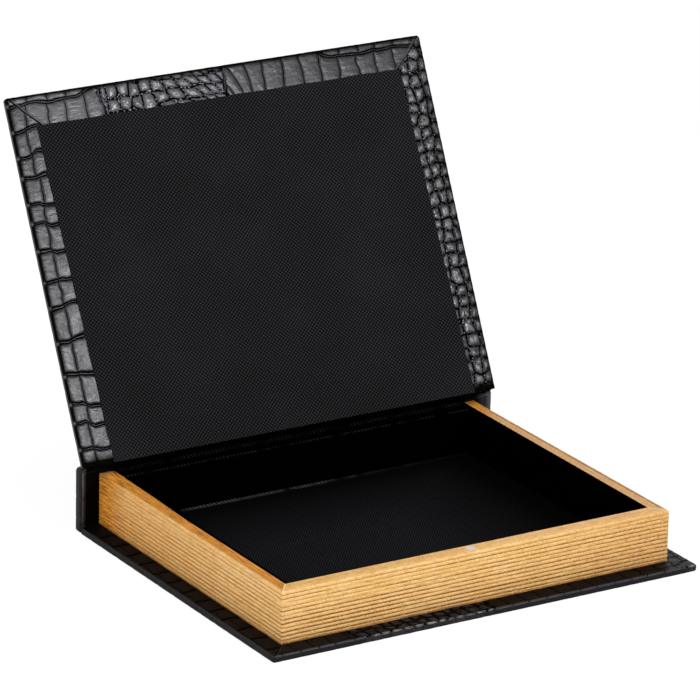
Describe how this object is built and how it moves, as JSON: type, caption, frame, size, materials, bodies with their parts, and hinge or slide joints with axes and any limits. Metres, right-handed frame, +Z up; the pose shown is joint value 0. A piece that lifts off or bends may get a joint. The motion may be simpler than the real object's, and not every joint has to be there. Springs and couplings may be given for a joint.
{
  "type": "book box",
  "caption": "Keepsake box shaped like a bound book on its back cover: leather-covered boards, ribbed gilt page-edge walls round a cloth-lined tray, and a front cover that opens on the spine",
  "frame": {"origin": "centre of the back cover's underside, the face that the box rests on", "axes": "+X along the spine, to the right when the fore-edge faces the viewer; +Y from the fore-edge to the spine; +Z up, out of the tray"},
  "size_m": [0.2746, 0.3045, 0.2311],
  "materials": {
    "board": "grey bookbinder's board, hidden inside the covers",
    "leather": "black crocodile-embossed artificial leather, semi-gloss",
    "core": "fibreboard, hidden under the skins",
    "gilt": "moulded ribbed skin in antique gold with a brown glaze in its grooves",
    "cloth": "black lining cloth with a fine diagonal weave",
    "panel": "black lining cloth with a small diagonal dot pattern",
    "steel": "bright plated magnet and plate"
  },
  "bodies": {
    "case": {"back_board": "board", "back_infill": "board", "back_leather": "leather", "spine_board": "board", "spine_infill": "board", "spine_leather": "leather", "fore_core": "core", "left_core": "core", "right_core": "core", "rear_wall": "core", "fore_edge": "gilt", "left_edge": "gilt", "right_edge": "gilt", "fore_lining": "cloth", "left_lining": "cloth", "right_lining": "cloth", "rear_lining": "cloth", "floor_card": "board", "floor_cloth": "cloth", "tray_magnet": "steel", "hinge_leather": "leather", "hinge_cloth": "cloth"},
    "lid": {"lid_board": "board", "lid_infill": "board", "lid_leather": "leather", "lid_panel": "panel", "lid_plate": "steel"}
  },
  "joints": [
    {"name": "lid_hinge", "type": "hinge", "parent": "case", "child": "lid", "pos_m": [0, 0.103, 0.0392], "axis": [1, 0, 0], "range_deg": [0, 116], "deforming": ["hinge_leather", "hinge_cloth"]}
  ]
}
